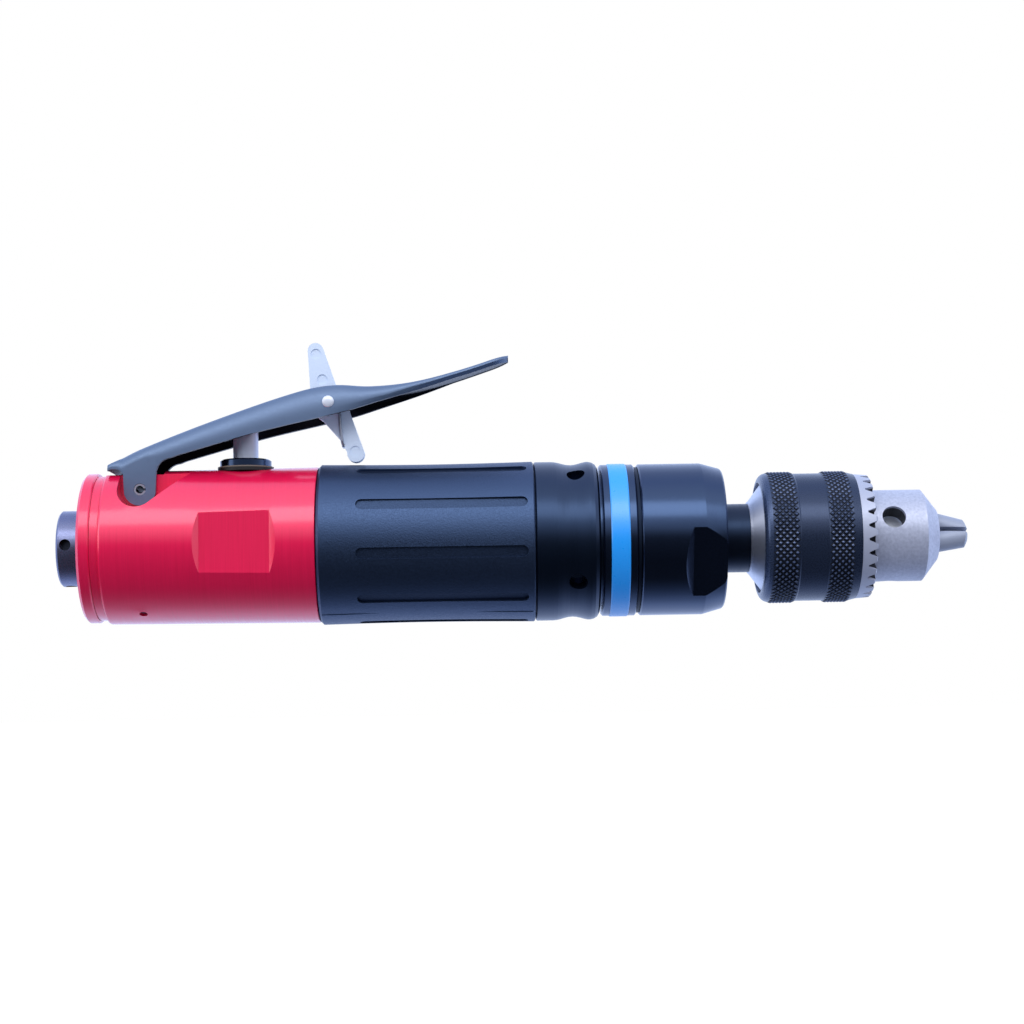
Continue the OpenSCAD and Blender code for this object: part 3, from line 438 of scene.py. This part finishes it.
for look, names in LOOKS.items():
    for name in names.split():
        nodes[name].data.materials.clear()
        nodes[name].data.materials.append(look)


# Mesh helpers, in millimetres

def mesh_object(name, verts, faces):
    me = bpy.data.meshes.new(name)
    me.from_pydata([Vector(v) * MM for v in verts], [], faces)
    o = bpy.data.objects.new(name, me)
    bpy.context.scene.collection.objects.link(o)
    return o


def mesh_piece(name, verts, faces, look, body, smooth=False):
    o = mesh_object(name, verts, faces)
    o.data.validate()
    for p in o.data.polygons:
        p.use_smooth = smooth
    o.data.materials.append(look)
    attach(o, body)
    return o


def on_round(x, r, a):
    """Point at x along the tool, r from its axis and a round it, from the camera side up."""
    return (x, -r * math.cos(a), r * math.sin(a))


def ribbon_faces(rows, across):
    """Faces of an open strip: rows of points, so many across."""
    return [(i, i + 1, i + across + 1, i + across)
            for k in range(rows - 1) for i in range(k * across, (k + 1) * across - 1)]


def cross_bar(x, z, r, length=30, n=48):
    """A round cutter across the tool."""
    verts, faces = [], []
    for k in range(n):
        a = 2 * math.pi * k / n
        for y in (-length / 2, length / 2):
            verts.append((x + r * math.cos(a), y, z + r * math.sin(a)))
    for k in range(n):
        i, j = 2 * k, 2 * ((k + 1) % n)
        faces.append((i, i + 1, j + 1, j))
    faces.append([2 * k for k in range(n)])
    faces.append([2 * k + 1 for k in range(n)][::-1])
    return mesh_object("cutter", verts, faces)


def block(lo, hi):
    """A square cutter between two corners."""
    corners = [(x, y, z) for x in (lo[0], hi[0]) for y in (lo[1], hi[1]) for z in (lo[2], hi[2])]
    faces = [(0, 1, 3, 2), (4, 6, 7, 5), (0, 4, 5, 1), (2, 3, 7, 6), (0, 2, 6, 4), (1, 5, 7, 3)]
    return mesh_object("cutter", corners, faces)


def cut(o, *cutters):
    """Takes the cutters out of a mesh for good."""
    for c in cutters:
        step = o.modifiers.new("cut", "BOOLEAN")
        step.object = c
        step.operation = "DIFFERENCE"
        step.solver = "EXACT"
    dg = bpy.context.evaluated_depsgraph_get()
    done = bpy.data.meshes.new_from_object(o.evaluated_get(dg))
    o.modifiers.clear()
    o.data = done
    for c in cutters:
        bpy.data.objects.remove(c)


def smooth_sides(o, angle=40):
    for p in o.data.polygons:
        p.use_smooth = True
    o.data.set_sharp_from_angle(angle=math.radians(angle))


# Lever: a pressed channel, in millimetres from its hinge

# Points (x, z) of its top and of the lower edge of its walls
LEVER_TOP = ((-8.2, 6.5), (0, 10.6), (20.2, 18.3), (40.8, 25.0), (49.6, 26.4), (58.8, 25.9), (69.2, 26.8),
             (81, 29.8), (94.3, 34.1))
LEVER_LOW = ((4.1, 7.2), (30, 14.3), (52.6, 19.4), (60.4, 21.7), (74, 25.8), (94.3, 33))
LEVER_HALF, LEVER_SHEET = 9.0, 1.5
SHOULDER_R, SHOULDER_DROP = 3.2, 7.0
# The paddle narrows from TAPER_X to a round tip. Its walls thin out over THIN_LEN and tuck in at the foot.
TIP_R, TAPER_X, THIN_X, THIN_LEN, FOOT_TUCK = 5.0, 56.0, 48.0, 23, 0.9
TIP_X = LEVER_TOP[-1][0] - TIP_R
# Round ear at the hinge, with a visor behind it and a fillet in front
EAR_R, VISOR_R, VISOR_Z, FILLET_R, FILLET_Z = 4.1, 2.2, 3.1, 4.2, 3.9
VISOR_X, FILLET_X = -EAR_R - VISOR_R, EAR_R + FILLET_R
HINGE_HOLE_R, PIVOT_HOLE_R = 1.55, 1.52
# Corners of the slot for the latch, from its pivot
SLOT_LO, SLOT_HI = (-10.4, -2.4, -2), (5.4, 2.4, 18)
# Sections of its mesh: step and count at the ear, count along the arm, and step round the tip in degrees
EAR_STEP, EAR_COUNT, ARM_COUNT, TIP_STEP = 0.2, 82, 60, 8


def slope(p, i):
    a, b = max(0, i - 1), min(len(p) - 1, i + 1)
    return (p[b][1] - p[a][1]) / (p[b][0] - p[a][0])


def curve(p, x):
    """Smooth curve through a short list of points, read at x."""
    i = 0
    while i < len(p) - 2 and x >= p[i + 1][0]:
        i += 1
    h = p[i + 1][0] - p[i][0]
    t = (x - p[i][0]) / h
    return (p[i][1] * (2 * t ** 3 - 3 * t * t + 1) + p[i + 1][1] * (3 * t * t - 2 * t ** 3)
            + h * slope(p, i) * (t ** 3 - 2 * t * t + t) + h * slope(p, i + 1) * (t ** 3 - t * t))


def arc(r, x):
    """Height of a circle about the origin at x."""
    return math.sqrt(max(0, r * r - x * x))


def lever_edge(x):
    """Lower edge at x: behind the visor, visor, ear, fillet, then the side wall."""
    if x < VISOR_X:
        return VISOR_Z + VISOR_R
    if x < -EAR_R:
        return VISOR_Z + arc(VISOR_R, x - VISOR_X)
    if x < EAR_R:
        return -arc(EAR_R, x)
    if x < FILLET_X:
        return FILLET_Z + arc(FILLET_R, x - FILLET_X)
    return curve(LEVER_LOW, x)


def lever_half(x):
    """Half the width at x."""
    if x < TAPER_X:
        return LEVER_HALF
    if x < TIP_X:
        t = (x - TAPER_X) / (TIP_X - TAPER_X)
        return LEVER_HALF - (LEVER_HALF - TIP_R) * t * t * (3 - 2 * t)
    return max(LEVER_SHEET + 0.3, arc(TIP_R, x - TIP_X))


def shoulder(w, r, drop, tuck, top, low, n=10):
    """Outline of a channel: walls tucked in at the foot, shoulders r wide and drop high."""
    turns = [k * math.pi / 2 / n for k in range(n + 1)]
    left = [(-w + tuck, low), (-w, low + 0.6 * (top - drop - low) + 0.4 * tuck)]
    left += [(-w + r - r * math.cos(a), top - drop + drop * math.sin(a)) for a in turns]
    return left + [(-y, z) for y, z in reversed(left)]


def lever_section(x):
    """Closed outline of the sheet at x: its outside, then its inside."""
    w, top = lever_half(x), curve(LEVER_TOP, x)
    low = min(lever_edge(x), top - LEVER_SHEET - 0.15)
    inner_w, inner_top = w - LEVER_SHEET, top - LEVER_SHEET
    r = min(SHOULDER_R, w * 0.4, top - low - 0.5)
    drop = max(r, min(SHOULDER_DROP, (top - curve(LEVER_LOW, max(x, EAR_R))) * 0.8))
    thin = min(1, max(0, (x - THIN_X) / THIN_LEN))
    r += thin * (min(r, (top - low) * 0.5) - r)
    drop += thin * (r - drop)
    inner_r = min(max(0.4, r - LEVER_SHEET), inner_w - 0.05, (inner_top - low) * 0.8)
    inner_drop = max(inner_r, min(drop - LEVER_SHEET, (inner_top - low) * 0.8))
    return (shoulder(w, r, drop, FOOT_TUCK * thin, top, low)
            + shoulder(inner_w, inner_r, inner_drop, 0, inner_top, low)[::-1])


def from_pivot(d):
    return (pivot.x + d[0], d[1], pivot.z + d[2])


def lever():
    """The pressing with its holes and slot, in place of the plainer mesh."""
    ear = [LEVER_TOP[0][0] + EAR_STEP * k for k in range(EAR_COUNT)]
    arm = [FILLET_X + (TIP_X - FILLET_X) * k / ARM_COUNT for k in range(1, ARM_COUNT + 1)]
    tip = [TIP_X + TIP_R * math.sin(math.radians(a)) for a in range(TIP_STEP, 90 - TIP_STEP, TIP_STEP)]
    rings = [[(hinge.x + x, y, hinge.z + z) for y, z in lever_section(x)] for x in ear + arm + tip]
    verts = [v for ring in rings for v in ring]
    count = len(rings[0])
    last = (len(rings) - 1) * count
    faces = []
    for i in range(0, last, count):
        for k in range(count):
            n = (k + 1) % count
            faces.append((i + n, i + k, i + count + k, i + count + n))
    # The two ends are closed by strips from the outside of the sheet to its inside.
    for k in range(count // 2 - 1):
        faces.append((k, k + 1, count - 2 - k, count - 1 - k))
    for k in range(count // 2 - 1):
        faces.append((last + count - 1 - k, last + count - 2 - k, last + k + 1, last + k))
    o = mesh_piece("lever_pressing", verts, faces, lever_paint, "lever", smooth=True)
    cut(o, cross_bar(hinge.x, hinge.z, HINGE_HOLE_R), cross_bar(pivot.x, pivot.z, PIVOT_HOLE_R),
        block(from_pivot(SLOT_LO), from_pivot(SLOT_HI)))
    smooth_sides(o)
    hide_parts("lever")


# Other detail pieces

def rivet_head(name, side, radius=1.52, height=0.55, dome=80, rows=8, around=32):
    """Domed head on one end of the latch pin: side is -1 towards the camera and 1 away from it."""
    verts, faces = [], []
    for k in range(rows + 1):
        rise = math.radians(dome) * k / rows
        reach = radius * math.cos(rise)
        for j in range(around):
            turn = 2 * math.pi * j / around
            verts.append((pivot.x + reach * math.cos(turn), side * (LEVER_HALF + height * math.sin(rise)),
                          pivot.z + reach * math.sin(turn)))
    for k in range(rows):
        for j in range(around):
            i, n = k * around + j, k * around + (j + 1) % around
            faces.append((i, n, n + around, i + around))
    faces.append(tuple(range(rows * around, (rows + 1) * around)))
    mesh_piece(name, verts, [f[::-side] for f in faces], rivet_steel, "lever", smooth=True)


def knurl(name, band):
    """Diamond knurl on a band of the key sleeve: small pyramids in two staggered sets."""
    x0, x1 = (sleeve_lo.x / MM + x for x in band)
    r = sleeve_hi.z / MM - KNURL_SINK
    step_a = 2 * math.pi / KNURL_AROUND
    step_x = (x1 - x0) / KNURL_ALONG
    verts, faces = [], []
    for k in range(2 * KNURL_ALONG - 1):
        x = x0 + (k + 1) * step_x / 2
        for j in range(KNURL_AROUND):
            a = (j + 0.5 * (k % 2)) * step_a
            n = len(verts)
            verts += [on_round(x, r, a - step_a / 2), on_round(x + step_x / 2, r, a),
                      on_round(x, r, a + step_a / 2), on_round(x - step_x / 2, r, a),
                      on_round(x, r + KNURL_HEIGHT, a)]
            faces += [(n, n + 1, n + 4), (n + 1, n + 2, n + 4), (n + 2, n + 3, n + 4), (n + 3, n, n + 4)]
    mesh_piece(name, verts, faces, knurl_black, "key_sleeve")


def spring(node):
    """A copy of a spring's mesh in place of the part, fixed where it stands."""
    o = bpy.data.objects.new(node + "_wire", nodes[node].data.copy())
    bpy.context.scene.collection.objects.link(o)
    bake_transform(o)
    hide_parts(node)


def mould_line(angle=-63, half=0.12, rise=0.12, sink=0.1, margin=0.6, waist=0.3, n=24):
    """Mould line of the grip: a low rib along the sleeve, under the camera side."""
    grip_r = grip_hi.z / MM
    x0, x1 = grip_lo.x / MM + margin, grip_hi.x / MM - margin
    verts = []
    for k in range(n + 1):
        x = x0 + (x1 - x0) * k / n
        r = grip_r - waist * (1 - math.cos(2 * math.pi * k / n))
        for side, height in ((-1, -sink), (0, rise), (1, -sink)):
            verts.append(on_round(x, r + height, math.radians(angle) + side * half / grip_r))
    mesh_piece("mould_line", verts, ribbon_faces(n + 1, 3), grip, "housing")


def hose_thread(r=5.72, pitch=1.337, length=11.0, start=0.6, half=0.5, depth=0.55, n=48):
    """Hose thread in the inlet: a ridge wound along the bore, in n steps a turn."""
    steps = int(length / pitch * n)
    verts = []
    for k in range(steps + 1):
        a = 2 * math.pi * k / n
        x = start + pitch * k / n
        verts += [on_round(x - half, r, a), on_round(x, r - depth, a), on_round(x + half, r, a)]
    faces = ribbon_faces(steps + 1, 3)
    mesh_piece("hose_thread", verts, faces, oxide, "housing", smooth=True)


lever()
rivet_head("rivet_near", -1)
rivet_head("rivet_far", 1)
knurl("knurl_rear", KNURL_REAR)
knurl("knurl_front", KNURL_FRONT)

spring("valve_spring")

spring("latch_spring")

mould_line()
hose_thread()


# Lights, in metres and aimed at the tool

TOOL_CENTRE = Vector((0.117, 0, 0.008))


def area_light(name, place, size, power):
    light = bpy.data.lights.new(name, "AREA")
    light.shape = "RECTANGLE"
    light.size, light.size_y = size
    light.energy = power
    o = bpy.data.objects.new(name, light)
    o.location = place
    o.rotation_euler = (TOOL_CENTRE - o.location).to_track_quat("-Z", "Y").to_euler()
    bpy.context.scene.collection.objects.link(o)


area_light("key", place=(0.117, -0.6, 0.56), size=(1.2, 0.34), power=2.8)
area_light("left", place=(-0.75, -0.3, 0.2), size=(0.5, 0.5), power=1.0)


# Floor: white to the camera, greyer in the light that it throws back, and clear in reflections

# Half its width and its height, in millimetres
FLOOR_HALF, FLOOR_Z = 4000, -120
FLOOR_CORNERS = ((-1, -1), (1, -1), (1, 1), (-1, 1))
FLOOR_WHITE, FLOOR_BOUNCE, FLOOR_GLOW = (0.9, 0.9, 0.9), (0.32, 0.33, 0.36), 0.75

pale = material("floor_pale", FLOOR_WHITE, roughness=0.8, specular=0.0)
shader(pale).inputs["Emission Color"].default_value = (1, 1, 1, 1)
seen = new_node(pale, "ShaderNodeLightPath")
vary_color(pale, seen.outputs["Is Camera Ray"], FLOOR_BOUNCE, FLOOR_WHITE)
glow = map_range(pale, seen.outputs["Is Camera Ray"], 0.0, 1.0, 0.0, FLOOR_GLOW)
link(pale, glow, shader(pale).inputs["Emission Strength"])
clear = new_node(pale, "ShaderNodeBsdfTransparent")
hide = new_node(pale, "ShaderNodeMixShader")
link(pale, seen.outputs["Is Glossy Ray"], hide.inputs[0])
link(pale, shader(pale).outputs["BSDF"], hide.inputs[1])
link(pale, clear.outputs["BSDF"], hide.inputs[2])
link(pale, hide.outputs["Shader"], pale.node_tree.nodes["Material Output"].inputs["Surface"])

floor = mesh_object("floor", [(x * FLOOR_HALF, y * FLOOR_HALF, FLOOR_Z) for x, y in FLOOR_CORNERS],
                    [(0, 1, 2, 3)])
floor.data.materials.append(pale)


# Light of the room by its angle round the tool's axis: 0 in front, 90 above, 180 behind, -90 below

ROOM_PEAK = 1.6
ROOM_LIGHT = ((-180, 0.85), (-122, 0.75), (-102, 0.38), (-85, 0.14), (-68, 0.03), (-35, 0.02), (2, 0.05),
              (20, 0.65), (45, 1), (68, 0.95), (95, 0.66), (118, 0.62), (140, 0.8), (160, 0.87),
              (180, 0.85))
FRONT_TINT, BACK_TINT, BACK_ANGLE = (0.84, 0.88, 1.0), (0.66, 0.8, 1.15), 80

world = bpy.context.scene.world or bpy.data.worlds.new("studio")
bpy.context.scene.world = world
world.use_nodes = True
world.node_tree.nodes.clear()
frontward = math_node(world, "MULTIPLY", part_coord(world, "Y", "Generated"), -1)
turn = math_node(world, "ARCTAN2", part_coord(world, "Z", "Generated"), frontward)
ramp = new_node(world, "ShaderNodeValToRGB")
link(world, map_range(world, turn, -math.pi, math.pi), ramp.inputs["Fac"])
stops = ramp.color_ramp.elements
for angle, level in ROOM_LIGHT:
    if angle == -180:
        stop = stops[0]
    elif angle == 180:
        stop = stops[-1]
    else:
        stop = stops.new((angle + 180) / 360)
    tint = BACK_TINT if abs(angle) > BACK_ANGLE else FRONT_TINT
    stop.color = (*(level * t for t in tint), 1)
room = new_node(world, "ShaderNodeBackground")
room.inputs["Strength"].default_value = ROOM_PEAK
link(world, ramp.outputs["Color"], room.inputs["Color"])

# The camera itself sees white in place of the room.
white = new_node(world, "ShaderNodeBackground")
white.inputs["Color"].default_value = (1, 1, 1, 1)
path = new_node(world, "ShaderNodeLightPath")
either = new_node(world, "ShaderNodeMixShader")
link(world, path.outputs["Is Camera Ray"], either.inputs["Fac"])
link(world, room.outputs["Background"], either.inputs[1])
link(world, white.outputs["Background"], either.inputs[2])
out = new_node(world, "ShaderNodeOutputWorld")
link(world, either.outputs["Shader"], out.inputs["Surface"])


# Camera: its place in metres, its angles in degrees, and its focal length in pixels of a square picture

CAMERA_AT = (0.10757, -0.54914, -0.03419)
PAN, RISE, ROLL = 0.868, 4.365, -0.993
FOCAL_PX, PICTURE_PX = 2130, 1024

pan, rise, roll = (math.radians(a) for a in (PAN, RISE, ROLL))
forward = Vector((math.sin(pan) * math.cos(rise), math.cos(pan) * math.cos(rise), math.sin(rise)))
right = Vector((math.cos(pan), -math.sin(pan), 0))
up = right.cross(forward)
right, up = (math.cos(roll) * right + math.sin(roll) * up, math.cos(roll) * up - math.sin(roll) * right)
lens = bpy.data.cameras.new("camera")
lens.angle = 2 * math.atan(PICTURE_PX / 2 / FOCAL_PX)
lens.clip_start = 0.01
camera = bpy.data.objects.new("camera", lens)
camera.matrix_world = Matrix.Translation(CAMERA_AT) @ Matrix((right, up, -forward)).transposed().to_4x4()
bpy.context.scene.collection.objects.link(camera)
bpy.context.scene.camera = camera
bpy.context.scene.view_settings.view_transform = "Standard"
